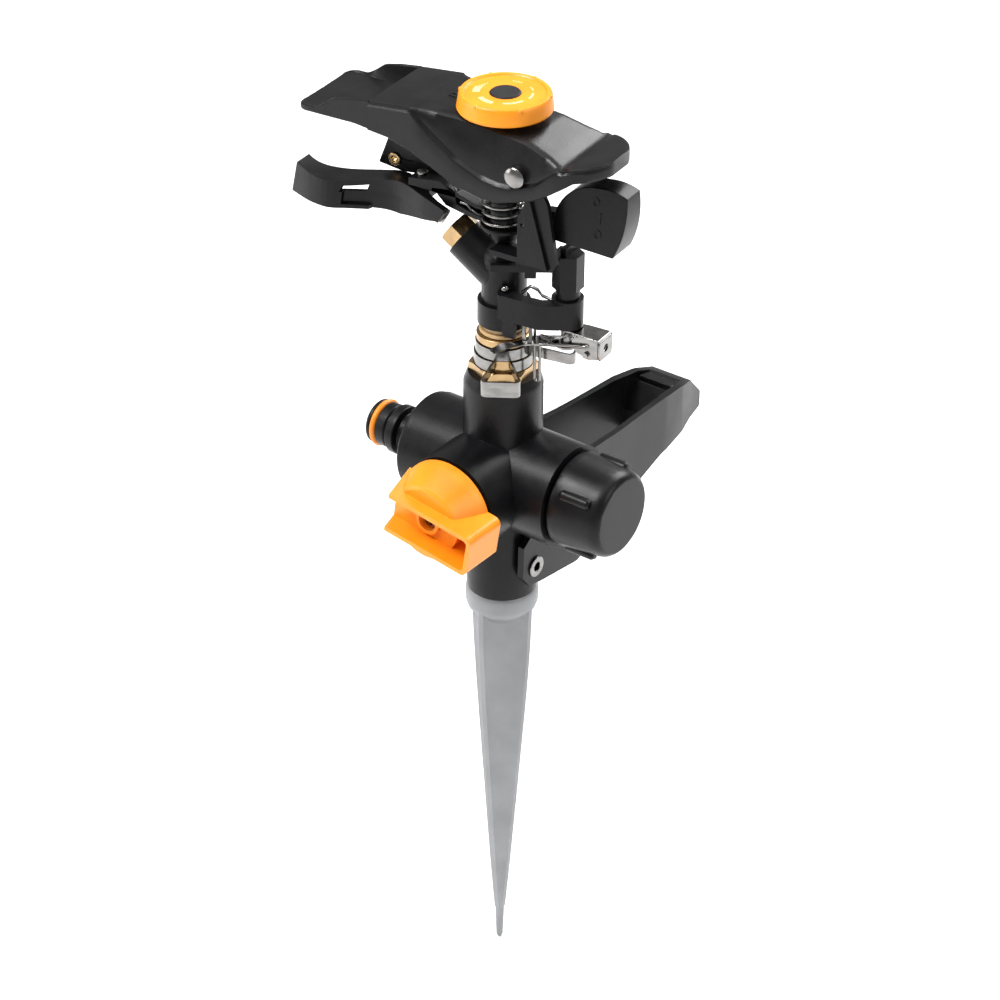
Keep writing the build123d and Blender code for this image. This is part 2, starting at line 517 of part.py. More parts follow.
def make_hammer_arm():
    """Hammer casting: bearing sleeve, forearm and tail web."""
    sleeve = rod(5.0, 140.0, 158.6) + rod(8.0, 140.0, 144.2)
    forearm = slab_y([(-35.0, 147.2), (-35.0, 149.8), (-22.5, 151.6), (-16.0, 149.0), (-9.2, 147.2), (-9.2, 144.2),
                      (-4, 144.2), (-4, 141.0),
                      (-15.5, 142.4), (-20.5, 143.4), (-24, 147.2)], -3.6, 3.6)
    slot = slab_y([(-15.4, 144.4), (-8.0, 143.2), (-8.0, 145.0), (-15.4, 146.6)], -5, -1.6)
    web = slab_y([(4, 140.4), (26, 143.4), (26, 152.0), (14, 150.4), (9.2, 149.8), (9.2, 144.2), (4, 144.2)], -2.2, 2.2)
    arm = sleeve + forearm - slot + web - rod(1.1, 140, 155, -31.6) - rod(1.95, 149.9, 155, -31.6)
    return arm - rod(3.6, 130, 170)


def make_counterweight():
    """Rounded paddle-shaped weight, thicker towards its foot."""
    arc_end = (37.0, 165.0)
    edges = Curve() + [
        Line((22.4, 143.2), (43.8, 142.4)),
        ThreePointArc((43.8, 142.4), (47.2, 152.5), (47.6, 163.8)),
        ThreePointArc((47.6, 163.8), (42.4, 165.2), arc_end),
        ThreePointArc(arc_end, (25.6, 159.8), (22.4, 143.2)),
    ]
    profile = Plane.XZ * make_face(edges)
    body = Pos(0, 7, 0) * extrude(profile, amount=14)
    draft = slab_x([(-6.1, 141.0), (6.1, 141.0), (4.0, 166.0), (-4.0, 166.0)], 15, 50)
    return (body & draft) - slab_y([(10, 138), (26.02, 138), (26.02, 152.0), (14, 152.4)], -2.2, 2.2)


save("hammer_arm", make_hammer_arm(), True)
save("counterweight", make_counterweight(), True)
splitter = curved_band(lifted(SPOON_NEAR, dy=3.35)[6:], lifted(SPOON_NEAR, dy=3.95)[6:], 125, 155)
splitter &= slab_y([(-18.0, 142.4), (-21.4, 136.7), (-40.3, 132.8), (-44.4, 133.2), (-38.0, 137.4), (-26.0, 141.6)], -12, 8)
save("splitter_blade", splitter, True)
save("spoon", make_spoon() - rod(1.1, 140, 155, -31.6), True)
vane = slab_y([(-49.3, 157.0), (-53.4, 146.4), (-44.0, 145.2), (-30.0, 147.0), (-22.0, 150.0), (-22.0, 156.0)],
              7.0, 8.4)
vane += slab_y([(-34.0, 148.2), (-34.0, 149.6), (-24.0, 151.2), (-24.0, 149.8)], 3.6, 7.2)
vane -= rod_y(1.5, 5, 10, -46.9, 149.2)
save("vane_plate", vane, True)
save("vane_eyelet", rod_y(2.3, 6.2, 7.0, -46.9, 149.2) + rod_y(1.5, 6.2, 8.8, -46.9, 149.2)
     - rod_y(0.9, 5, 10, -46.9, 149.2), True)
save("spoon_screw", rod(1.9, 149.9, 151.6, -31.6, 0) + rod(1.1, 144.7, 151.0, -31.6, 0)
     - block(-33.2, -30.0, -0.3, 0.3, 151.0, 152), True)
save("hammer_bush", ring(3.6, SHAFT_R + FIT, 140.0, 158.6), True)

coil_r = 7.0
spring_path = Helix(pitch=3.0, height=12.0, radius=coil_r)
spring_start = Plane(origin=spring_path @ 0, z_dir=spring_path % 0)
save("hammer_spring", Pos(0, 0, 145.2) * sweep(spring_start * Circle(0.55), path=spring_path), True)

# ---- shaft and bracket inside the hood ----
shaft = rod(SHAFT_R, 129.5, 169.0) + rod(3.2, 168.2, 169.6)
save("hammer_shaft", shaft, True)
save("shaft_washers", Compound(children=[ring(3.4, SHAFT_R, 159.0, 160.0), ring(4.6, SHAFT_R, 160.2, 161.4)]), True)
pin_x, pin_z = HOOD_PIN
saddle = slab_z([(-4.5, -5), (8.0, -13.4), (19.0, -13.4), (19.0, 13.4), (8.0, 13.4), (-4.5, 5)], 163.6, 165.6, 1.0)
for low, high in ((-13.4, -11.2), (11.2, 13.4)):
    saddle += slab_y([(pin_x - 4, 164), (pin_x + 4, 164), (pin_x + 3, 171.5), (pin_x - 3, 171.5)], low, high)
saddle += rod(4.2, 161.8, 166.0)
saddle -= rod(SHAFT_R, 160, 170)
saddle -= rod_y(1.5, -15, 15, pin_x, pin_z)
save("hood_saddle", saddle, True)


# ---- hood ----
def hood_envelope(side, half, top, front, back):
    """Side outline kept inside a rounded plan and inside the sloping cheeks."""
    plan = [(front, -half + 1), (-30, -half + 0.6), (-10, -half), (20, -half), (34, -half + 1.2), (back, -half + 9),
            (back, half - 9), (34, half - 1.2), (20, half), (-10, half), (-30, half - 0.6), (front, half - 1)]
    body = slab_y(side, -20, 20) & slab_z(plan, 140, 190, 2.0)
    for sign in (-1, 1):
        cheek = [(sign * top, 182.4), (sign * (half + 0.4), 168.4), (sign * (half + 6), 168.4),
                 (sign * (half + 6), 190.0), (sign * top, 190.0)]
        body -= slab_x(cheek, -22.0, 27.0)
    return body


def make_hood():
    """Thin shell, open below; the channel in front of the roof edge is open to the sky."""
    roof = [(-70.0, 171.0), (-70.0, 172.6), (-62.4, 173.2), (-56.0, 178.4), (-42.0, 180.6), (-25.0, 182.2),
            (0.0, 181.0), (15.0, 179.2), (30.0, 174.4), (42.6, 176.0)]
    skirt = [(42.6, 171.2), (34.0, 170.2), (25.0, 164.0), (20.0, 161.2), (14.8, 159.4), (7.0, 157.0),
             (1.5, 157.2), (-8.0, 159.0), (-14.3, 161.8), (-25.5, 166.8), (-34.0, 169.4), (-48.0, 171.0)]
    ceiling = [(-41.0, 150.0), (-41.0, 178.8), (-25.0, 180.4), (0.0, 179.2), (15.0, 177.4), (29.4, 172.7),
               (40.8, 174.1), (40.8, 150.0)]
    wall = 1.8
    shell = hood_envelope(roof + skirt, HOOD_HALF, 11.6, -70.0, 42.6)
    shell -= hood_envelope(ceiling, HOOD_HALF - wall, 11.0, -60.0, 42.6 - wall)
    shell -= block(-72, -42.4, -14.2, 14.2, 172.8, 190)
    shell -= block(-60, -40.9, -14.2, 14.2, 160, 171.2)
    far_relief = [(-6, 150), (41, 150), (41, 171.0), (34, 170.0), (28, 167.2), (14, 165.0), (-2, 165.0)]
    shell -= slab_y(far_relief, 8, 20)
    x, z = HOOD_PIN
    for y0, y1 in ((-17.2, -13.7), (13.7, 17.2)):
        shell += rod_y(3.4, y0, y1, x, z)
    shell -= rod_y(1.5 + FIT, -20, 20, x, z)
    return shell - rod(3.2 + FIT, 170, 190)


save("hood", make_hood(), True)
for name, sign in (("hood_pin_near", -1), ("hood_pin_far", 1)):
    inner, outer = sorted((sign * 11.0, sign * 17.4))
    head_in, head_out = sorted((sign * 17.3, sign * 18.4))
    pin = rod_y(1.5, inner, outer, pin_x, pin_z) + rod_y(3.6, head_in, head_out, pin_x, pin_z)
    save(name, pin, True)

dial = turned([(0, DIAL_BASE), (DIAL_R - 0.3, DIAL_BASE), (DIAL_R, DIAL_BASE + 0.6), (15.1, 187.4), (14.6, 188.0),
               (13.4, 188.0), (13.0, 187.5), (0, 187.5)])
for k in range(6):
    dial += Rot(0, 0, 60 * k + 20) * Pos(14.6, 0, 187.4) * Sphere(0.8)
dial += rod(3.2, 175.5, 183)
dial -= rod(5.2, 186.3, 190) + rod(1.4, 175, 190)
save("range_dial", dial, True)
save("dial_button", turned([(0, 186.3), (5.15, 186.3), (5.15, 187.6), (4.7, 188.0), (0, 188.0)]), True)
save("dial_screw", rod(1.35, 173.4, 186.2) + rod(2.6, 172.6, 175.3), True)

for name, shape in parts.items():
    export_step(shape, f"parts/{name}.step")
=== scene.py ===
from math import cos, pi, radians, sin, sqrt

import bmesh
import bpy
from mathutils import Matrix, Vector


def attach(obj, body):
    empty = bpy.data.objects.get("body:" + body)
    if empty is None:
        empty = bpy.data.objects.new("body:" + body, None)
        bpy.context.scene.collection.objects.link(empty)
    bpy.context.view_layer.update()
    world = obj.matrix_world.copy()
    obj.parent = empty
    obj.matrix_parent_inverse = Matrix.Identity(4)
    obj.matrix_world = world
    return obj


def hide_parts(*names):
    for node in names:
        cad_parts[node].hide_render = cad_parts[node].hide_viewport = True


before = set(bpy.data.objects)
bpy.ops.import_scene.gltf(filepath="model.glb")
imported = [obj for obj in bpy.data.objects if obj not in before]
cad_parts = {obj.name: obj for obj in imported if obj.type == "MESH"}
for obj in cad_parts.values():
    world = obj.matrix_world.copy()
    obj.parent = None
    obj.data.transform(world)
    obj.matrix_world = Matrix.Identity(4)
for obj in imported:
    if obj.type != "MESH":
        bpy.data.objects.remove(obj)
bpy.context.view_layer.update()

# Looks of the impact sprinkler, in the frame of the CAD part. Shapes are built in millimetres, and those of the head
# along its own axes: u along the hammer, t across it. A piece is then turned by HEAD_YAW and scaled to metres.
MM = 0.001
HEAD_YAW = radians(5.5)


# ---- camera ----
AZIMUTH, ELEVATION, ROLL = radians(36.55), radians(32.3), radians(0.38)
back = Vector((sin(AZIMUTH) * cos(ELEVATION), -cos(AZIMUTH) * cos(ELEVATION), sin(ELEVATION)))
right = Vector((cos(AZIMUTH), sin(AZIMUTH), 0.0))
up = back.cross(right)
right, up = (cos(ROLL) * right + sin(ROLL) * up, -sin(ROLL) * right + cos(ROLL) * up)
camera_data = bpy.data.cameras.new("camera")
camera_data.lens = 112.9
camera_data.sensor_width = 36.0
camera_data.clip_start = 0.05
camera = bpy.data.objects.new("camera", camera_data)
bpy.context.scene.collection.objects.link(camera)
place = Matrix((right, up, back)).transposed().to_4x4()
place.translation = back * 1.1 - right * 0.0007 + up * 0.02856
camera.matrix_world = place
bpy.context.scene.camera = camera


# ---- materials ----
def surface(name, colour, dark, roughness, metallic=0.0, grain=600.0, bump=0.05, spread=0.08, coat=0.0,
            stretch=(1, 1, 1), wear=120.0, specular=0.5):
    """Procedural surface: two-tone colour and roughness from noise, and a fine grain in relief."""
    material = bpy.data.materials.new(name)
    material.use_nodes = True
    tree = material.node_tree
    nodes, links = tree.nodes, tree.links
    shader = nodes["Principled BSDF"]
    shader.inputs["Metallic"].default_value = metallic
    shader.inputs["Coat Weight"].default_value = coat
    shader.inputs["Coat Roughness"].default_value = 0.15
    shader.inputs["Specular IOR Level"].default_value = specular
    coords = nodes.new("ShaderNodeTexCoord")
    mapping = nodes.new("ShaderNodeMapping")
    mapping.inputs["Scale"].default_value = stretch
    links.new(coords.outputs["Object"], mapping.inputs["Vector"])
    broad = nodes.new("ShaderNodeTexNoise")
    broad.inputs["Scale"].default_value = wear
    broad.inputs["Detail"].default_value = 5.0
    links.new(mapping.outputs["Vector"], broad.inputs["Vector"])
    ramp = nodes.new("ShaderNodeValToRGB")
    ramp.color_ramp.elements[0].position = 0.35
    ramp.color_ramp.elements[0].color = (*dark, 1)
    ramp.color_ramp.elements[1].position = 0.65
    ramp.color_ramp.elements[1].color = (*colour, 1)
    links.new(broad.outputs["Fac"], ramp.inputs["Fac"])
    links.new(ramp.outputs["Color"], shader.inputs["Base Color"])
    rough = nodes.new("ShaderNodeMapRange")
    rough.inputs["To Min"].default_value = max(0.02, roughness - spread)
    rough.inputs["To Max"].default_value = roughness + spread
    links.new(broad.outputs["Fac"], rough.inputs["Value"])
    links.new(rough.outputs["Result"], shader.inputs["Roughness"])
    fine = nodes.new("ShaderNodeTexNoise")
    fine.inputs["Scale"].default_value = grain
    fine.inputs["Detail"].default_value = 3.0
    links.new(mapping.outputs["Vector"], fine.inputs["Vector"])
    relief = nodes.new("ShaderNodeBump")
    relief.inputs["Strength"].default_value = bump
    relief.inputs["Distance"].default_value = 0.0004
    links.new(fine.outputs["Fac"], relief.inputs["Height"])
    links.new(relief.outputs["Normal"], shader.inputs["Normal"])
    return material


BLACK = surface("black_plastic", (0.0060, 0.0060, 0.0068), (0.0032, 0.0032, 0.0038), 0.33, bump=0.10, grain=1500,
                specular=0.20)
HOOD_BLACK = surface("hood_plastic", (0.0085, 0.0083, 0.0086), (0.0050, 0.0050, 0.0053), 0.31, bump=0.12, grain=1700,
                     specular=0.26)
MATT_BLACK = surface("matt_black", (0.012, 0.012, 0.013), (0.008, 0.008, 0.009), 0.6, bump=0.15, grain=1500,
                     specular=0.25)
ORANGE = surface("orange_plastic", (0.93, 0.315, 0.008), (0.87, 0.275, 0.006), 0.38, bump=0.06, grain=900)
ORANGE_PALE = surface("pale_marks", (0.98, 0.62, 0.30), (0.95, 0.57, 0.26), 0.45, bump=0.03, grain=900)
CAST = surface("cast_alloy", (0.27, 0.275, 0.285), (0.225, 0.23, 0.238), 0.40, metallic=0.35, bump=0.12, grain=900,
               spread=0.06, wear=60)
BRASS = surface("brass", (0.50, 0.345, 0.18), (0.40, 0.265, 0.13), 0.25, metallic=1.0, bump=0.05, grain=900,
                wear=260)
STEEL = surface("steel", (0.295, 0.289, 0.28), (0.215, 0.211, 0.204), 0.21, metallic=1.0, bump=0.05, grain=500,
                wear=220, stretch=(1, 1, 2.5))
DARK_STEEL = surface("spring_steel", (0.30, 0.295, 0.285), (0.17, 0.168, 0.162), 0.28, metallic=1.0, bump=0.05,
                     grain=500, wear=260)
RUBBER = surface("rubber", (0.022, 0.022, 0.022), (0.015, 0.015, 0.015), 0.7, bump=0.1)
ORANGE_RUBBER = surface("orange_rubber", (0.90, 0.27, 0.01), (0.80, 0.22, 0.008), 0.45, bump=0.05)
AMBER = surface("amber_plastic", (0.50, 0.33, 0.15), (0.42, 0.27, 0.115), 0.35, bump=0.05, specular=0.6)
NYLON = surface("pale_plastic", (0.62, 0.60, 0.54), (0.52, 0.50, 0.45), 0.45, bump=0.05)

NODE_MATERIAL = {
    "ground_spike": CAST, "inlet_gasket": RUBBER, "inlet_o_ring": ORANGE_RUBBER, "bearing_base": BRASS,
    "bearing_seal": RUBBER, "pedal_rivet": STEEL, "valve_knob": ORANGE, "valve_plug": NYLON,
    "valve_o_rings": RUBBER, "valve_screw": STEEL, "cap_washer": RUBBER, "collar_lower": STEEL,
    "collar_upper": STEEL, "spindle": BRASS, "thrust_washers": AMBER, "nozzle": BRASS, "post_pin": STEEL,
    "hammer_shaft": STEEL, "shaft_washers": NYLON, "hood_pin_near": STEEL, "hood_pin_far": STEEL,
    "trip_leaf": STEEL, "trip_cheek": STEEL, "trip_roller": STEEL, "trip_finger": STEEL,
    "splitter_blade": STEEL, "vane_eyelet": BRASS, "spoon_screw": STEEL, "hammer_bush": BRASS,
    "hammer_spring": DARK_STEEL, "range_dial": ORANGE, "dial_button": MATT_BLACK, "dial_screw": STEEL,
    "hood": HOOD_BLACK, "brake_strip": STEEL, "arm_pin": STEEL,
}


def soften(obj, width, angle=32.0):
    """Small rounded edges on a CAD node, from modifiers only."""
    weld = obj.modifiers.new("weld", "WELD")
    weld.merge_threshold = 1e-6
    bevel = obj.modifiers.new("bevel", "BEVEL")
    bevel.width = width
    bevel.segments = 3
    bevel.limit_method = "ANGLE"
    bevel.angle_limit = radians(angle)
    bevel.use_clamp_overlap = True
    bevel.harden_normals = False
    normals = obj.modifiers.new("normals", "WEIGHTED_NORMAL")
    normals.keep_sharp = True
    for polygon in obj.data.polygons:
        polygon.use_smooth = True


SHARP = {"hammer_spring", "trip_finger"}
for name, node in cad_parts.items():
    node.data.materials.clear()
    node.data.materials.append(NODE_MATERIAL.get(name, BLACK))
    if name in SHARP:
        for polygon in node.data.polygons:
            polygon.use_smooth = True
    else:
        soften(node, 0.0003)


# ---- mesh building ----
class Shape:
    """Vertices in millimetres and faces of one piece."""

    def __init__(self):
        self.verts = []
        self.faces = []

    def loops(self, rings, closed=True, cap_start=True, cap_end=True):
        """Skin over equal-length rings of points."""
        first = len(self.verts)
        count = len(rings[0])
        for ring in rings:
            self.verts.extend(tuple(p) for p in ring)
        last = count if closed else count - 1
        for i in range(len(rings) - 1):
            a, b = first + i * count, first + (i + 1) * count
            for j in range(last):
                k = (j + 1) % count
                self.faces.append((a + j, a + k, b + k, b + j))
        if cap_start:
            self.faces.append(tuple(range(first + count - 1, first - 1, -1)))
        if cap_end:
            end = first + (len(rings) - 1) * count
            self.faces.append(tuple(range(end, end + count)))
        return self

    def turned(self, profile, place=Matrix.Identity(4), steps=64):
        """Solid of revolution from (radius, height) points; the profile's ends lie on the axis or close a ring."""
        rings = []
        for k in range(steps):
            angle = 2 * pi * k / steps
            rings.append([place @ Vector((r * cos(angle), r * sin(angle), z)) for r, z in profile])
        first = len(self.verts)
        count = len(profile)
        for ring in rings:
            self.verts.extend(tuple(p) for p in ring)
        for i in range(steps):
            a, b = first + i * count, first + ((i + 1) % steps) * count
            for j in range(count):
                k = (j + 1) % count
                self.faces.append((a + j, b + j, b + k, a + k))
        return self

    def tube(self, path, radius, sides=10):
        """Round wire along a line of points."""
        points = [Vector(p) for p in path]
        normal = None
        rings = []
        for i, point in enumerate(points):
            before, after = points[max(i - 1, 0)], points[min(i + 1, len(points) - 1)]
            tangent = (after - before).normalized()
            if normal is None:
                normal = tangent.orthogonal().normalized()
            normal = (normal - tangent * normal.dot(tangent)).normalized()
            side = tangent.cross(normal)
            rings.append([point + radius * (cos(2 * pi * k / sides) * normal + sin(2 * pi * k / sides) * side)
                          for k in range(sides)])
        return self.loops(rings)

    def prism(self, points, low, high, place=Matrix.Identity(4)):
        """Flat outline of (x, y) points drawn from low to high along z."""
        bottom = [place @ Vector((x, y, low)) for x, y in points]
        top = [place @ Vector((x, y, high)) for x, y in points]
        return self.loops([bottom, top])


def smooth_line(points, steps=6):
    """Rounded line through the points (Catmull-Rom)."""
    line = []
    vectors = [Vector(p) for p in points]
    for i in range(len(vectors) - 1):
        a = vectors[max(i - 1, 0)]
        b, c = vectors[i], vectors[i + 1]
        d = vectors[min(i + 2, len(vectors) - 1)]
        for k in range(steps):
            t = k / steps
            line.append(0.5 * ((2 * b) + (c - a) * t + (2 * a - 5 * b + 4 * c - d) * t * t
                               + (3 * b - a - 3 * c + d) * t ** 3))
    line.append(vectors[-1])
    return line


def along(table, x):
    """Value at x on a broken line of (x, value) points."""
    if x <= table[0][0]:
        return table[0][1]
    for (x0, v0), (x1, v1) in zip(table, table[1:]):
        if x <= x1:
            return v0 + (v1 - v0) * (x - x0) / (x1 - x0)
    return table[-1][1]


def clean_mesh(shape, name, in_head=True):
    """Mesh of a shape in metres, welded, with its faces turned outwards."""
    turn = Matrix.Rotation(HEAD_YAW, 4, "Z") if in_head else Matrix.Identity(4)
    mesh = bpy.data.meshes.new(name)
    mesh.from_pydata([turn @ (Vector(v) * MM) for v in shape.verts], [], shape.faces)
    work = bmesh.new()
    work.from_mesh(mesh)
    bmesh.ops.remove_doubles(work, verts=work.verts, dist=1e-6)
    bmesh.ops.dissolve_degenerate(work, dist=1e-7, edges=work.edges)
    bmesh.ops.recalc_face_normals(work, faces=work.faces)
    work.to_mesh(mesh)
    work.free()
    return mesh


def piece(shape, name, material, body, *nodes, slot="black_plastic", in_head=True, bevel=0.0, angle=35.0):
    """Makes the object, rounds its sharp edges and lets it ride on its body."""
    mesh = clean_mesh(shape, name, in_head)
    mesh.materials.append(material)
    obj = bpy.data.objects.new(name, mesh)
    bpy.context.scene.collection.objects.link(obj)
    for polygon in mesh.polygons:
        polygon.use_smooth = True
    if bevel:
        rounding = obj.modifiers.new("bevel", "BEVEL")
        rounding.width = bevel * MM
        rounding.segments = 3
        rounding.limit_method = "ANGLE"
        rounding.angle_limit = radians(angle)
        normals = obj.modifiers.new("normals", "WEIGHTED_NORMAL")
        normals.keep_sharp = True
    else:
        mesh.set_sharp_from_angle(angle=radians(angle))
    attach(obj, body)
    if nodes:
        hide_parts(*nodes)
    return obj


# ---- hood ----
HOOD_TOP = [(-42.0, 180.5), (-25.0, 182.25), (-12, 181.8), (0.0, 180.9), (15.0, 179.0), (25, 176.0), (28.5, 174.6),
            (30.2, 174.3), (32.0, 174.9), (42.6, 176.1)]
HOOD_BOTTOM = [(-70.0, 171.0), (-48.0, 171.2), (-34.0, 169.7), (-25.5, 166.9), (-14.3, 161.7), (-8.0, 158.8),
               (1.5, 157.1), (7.0, 157.0), (14.8, 159.4), (20.0, 161.2), (25.0, 164.0), (34.0, 170.2),
               (42.6, 171.2)]
HOOD_FAR_BOTTOM = [(-14.3, 165.6), (5, 165.6), (28.0, 167.3), (34.0, 170.2), (42.6, 171.2)]
PLATEAU = [(-42, 15.4), (-25.5, 15.4), (-24.0, 14.6), (-20, 13.4), (-10, 11.8), (5, 11.4), (16, 11.8), (24, 13.0),
           (29.5, 14.6), (31.5, 15.6)]
GROOVE = [(-26.5, 182.0), (-25.2, 181.0), (-23.6, 179.2), (-21.0, 177.2), (-17.9, 174.9), (-9.3, 168.9),
          (0.9, 164.6), (7, 163.6), (11.8, 163.9), (21.0, 167.2), (26.0, 171.3), (28.3, 173.2), (30.0, 174.0)]
SOLID_FROM = 38.4
WALL_TOP = [(-70, 172.9), (-63.0, 173.1), (-60, 174.9), (-56.0, 178.0), (-50, 179.4), (-42.0, 180.5)]


def tail_half(u, half):
    """Half width of the hood, rounded in plan at the tail and at the tongue's corners."""
    if u > 27.0:
        return 0.6 + sqrt(max(0.0, (half - 0.6) ** 2 - ((u - 27.0) * (half - 0.6) / 16.2) ** 2))
    if u < -66.5:
        return half - 3.5 + sqrt(max(0.0, 3.5 ** 2 - (u + 66.5) ** 2))
    return half


def roof_section(u):
    """Closed section of the hood behind the roof's front edge."""
    top = along(HOOD_TOP, u)
    half = tail_half(u, 17.0)
    shrink = half / 17.0
    edge = along(PLATEAU, u) * shrink
    rolled = max(0.0, min(1.0, (u + 25.5) / 4.0)) * max(0.0, min(1.0, (31.0 - u) / 3.0))
    groove = min(along(GROOVE, u), top - 0.9) if u < 30 else top - 0.9
    depth = 0.9 * rolled
    section = []
    for sign in (-1, 1):
        bottom = along(HOOD_BOTTOM, u)
        if sign > 0 and -14.3 < u < 42:
            far = HOOD_FAR_BOTTOM if u > -8 else [(-14.3, 161.7), (-8, 165.6)]
            bottom = max(bottom, along(far, u))
        groove_z = max(groove, bottom + 2.2)
        outer = half
        slope = max(0.0, top - groove_z)
        roll = min(1.4, 0.3 + 0.12 * slope)
        mid_t = edge + roll + 0.5 * (outer - 0.9 - edge - roll)
        mid_z = 0.5 * (top - roll + groove_z + 0.7) + 0.35 * rolled * min(1.0, slope / 8)
        side = [
            (outer - 0.35, bottom), (outer, bottom + 0.35),
            (outer, bottom + 0.4 * (groove_z - 1.6 - bottom) + 0.2), (outer, groove_z - 1.5),
            (outer - 0.2 * rolled, groove_z - 0.7), (outer - 0.5 - depth * 0.6, groove_z - 0.1),
            (outer - 0.5 - depth, groove_z + 0.35 * rolled),
            (outer - 0.6 - depth * 0.9, groove_z + 0.4 + 0.6 * rolled),
            (mid_t if rolled else outer - 0.6, mid_z if rolled > 0.5 else min(mid_z, top - 0.35)),
            (edge + roll * 0.8, top - 0.5 * roll - 0.1), (edge + roll * 0.15, top - 0.12 * roll - 0.05),
            (edge - 1.6, top), (edge * 0.5, top + 0.05),
        ]
        inner = [
            (edge * 0.5, top - 1.8), (max(0.2, edge - 1.8), top - 1.9), (max(0.3, mid_t - 2.0), mid_z - 1.4),
            (outer - 3.2, groove_z + 0.2), (outer - 1.9, groove_z - 1.6), (outer - 1.8, bottom + 0.3),
            (outer - 1.6, bottom),
        ]
        if u > SOLID_FROM:
            inner = [(min(t, outer - 0.5), bottom) for t, z in inner]
        section.append((side, inner))
    (near_side, near_inner), (far_side, far_inner) = section
    loop = [(-t, z) for t, z in near_side] + [(0.0, top + 0.08)] + far_side[::-1] + far_inner[::-1]
    loop += [(0.0, top - 1.8 if u <= SOLID_FROM else near_inner[-1][1])] + [(-t, z) for t, z in near_inner]
    return [(u, t, z) for t, z in loop]


def tongue_section(u):
    """Closed section of the open channel in front of the roof."""
    half = tail_half(u, 16.4)
    wall = along(WALL_TOP, u)
    floor = 172.8 - 0.1 * max(0.0, (-62 - u) / 8)
    wall = max(wall, floor + 0.05)
    rise = wall - floor
    bottom = along(HOOD_BOTTOM, u)
    inner_foot = half - 2.6 if rise > 0.4 else half - 2.2
    side = [(half - 0.4, bottom), (half, bottom + 0.4), (half, bottom + 0.5 * (wall - bottom)), (half, wall - 0.45),
            (half - 0.25, wall - 0.1), (half - 0.6, wall), (half - 1.35, wall - 0.02),
            (half - 1.6, wall - 0.25 * min(1, rise)),
            (inner_foot + 0.5, floor + 0.22 * rise + 0.02), (inner_foot, floor + 0.08 * min(1, rise) + 0.01),
            (inner_foot - 1.4, floor), (half * 0.45, floor - 0.05)]
    under = [(half * 0.45, 171.05), (half - 2.4, 171.05), (half - 1.9, min(bottom + 0.1, 171.0)),
             (half - 1.5, bottom)]
    loop = [(-t, z) for t, z in side] + [(0.0, floor - 0.08)] + [(t, z) for t, z in reversed(side)]
    loop += [(t, z) for t, z in reversed(under)] + [(0.0, 171.05)] + [(-t, z) for t, z in under]
    return [(u, t, z) for t, z in loop]


def make_hood():
    """Roof, open tongue and the riser between them."""
    shell = Shape()
    stations = [-42.0 + 0.9 * k for k in range(76)] + [27.0 + 0.7 * k for k in range(20)]
    stations += [40.9, 41.6, 42.1, 42.5]
    stations = sorted(set(round(u, 2) for u in stations))
    shell.loops([roof_section(u) for u in stations])
    fronts = [-70.0, -69.7, -69.2, -68.4, -67.4, -66.5] + [-65.5 + 1.0 * k for k in range(24)] + [-42.0]
    shell.loops([tongue_section(u) for u in fronts])
    riser = [(-16.0, 171.2), (16.0, 171.2), (16.2, 180.0), (-16.2, 180.0)]
    upright = Matrix.Rotation(radians(90), 4, "Y") @ Matrix.Rotation(radians(90), 4, "Z")
    shell.prism(riser, -0.7, 0.7, Matrix.Translation((-41.4, 0, 0)) @ upright)
    return shell


PIN_U, PIN_Z = 13.6, 168.0
PIN_BORE, SPIGOT_BORE = 1.65, 3.35
HOOD_SHARP = 34


def side_turn(u, t, z, sign):
    """Place of a turned part whose axis points outwards through one side of the hood."""
    return Matrix.Translation((u, t, z)) @ Matrix.Rotation(radians(-90 * sign), 4, "X")


def drill(obj, cutter):
    """Cuts a shape out of a finished piece of the hood."""
    tool = bpy.data.objects.new("cutter", clean_mesh(cutter, "cutter"))
    bpy.context.scene.collection.objects.link(tool)
    cut = obj.modifiers.new("cut", "BOOLEAN")
    cut.operation = "DIFFERENCE"
    cut.solver = "EXACT"
    cut.use_self = True
    cut.object = tool
    depsgraph = bpy.context.evaluated_depsgraph_get()
    drilled = bpy.data.meshes.new_from_object(obj.evaluated_get(depsgraph))
    obj.modifiers.remove(cut)
    obj.data = drilled
    bpy.data.objects.remove(tool)
    drilled.set_sharp_from_angle(angle=radians(HOOD_SHARP))


hood = piece(make_hood(), "hood_shell", HOOD_BLACK, "hood_cover", "hood", angle=HOOD_SHARP)
spigot_bore = Shape()
spigot_bore.turned([(0.0, 170.0), (SPIGOT_BORE, 170.0), (SPIGOT_BORE, 190.0), (0.0, 190.0)], steps=40)
drill(hood, spigot_bore)
for sign in (-1, 1):
    pin_bore = Shape()
    pin_bore.turned([(0.0, 8.0), (PIN_BORE, 8.0), (PIN_BORE, 0.0), (0.0, 0.0)],
                    side_turn(PIN_U, sign * 10.5, PIN_Z, sign), 32)
    drill(hood, pin_bore)
saddle_pocket = Shape()
saddle_pocket.prism([(7.6, -13.7), (19.4, -13.7), (19.4, 13.7), (7.6, 13.7)], 160.5, 171.9)
drill(hood, saddle_pocket)
bosses = Shape()
for sign in (-1, 1):
    bosses.turned([(3.4, 3.3), (3.4, 0.0), (PIN_BORE, 0.0), (PIN_BORE, 3.3)],
                  side_turn(PIN_U, sign * 13.9, PIN_Z, sign), 40)
piece(bosses, "hood_bosses", HOOD_BLACK, "hood_cover", angle=HOOD_SHARP)


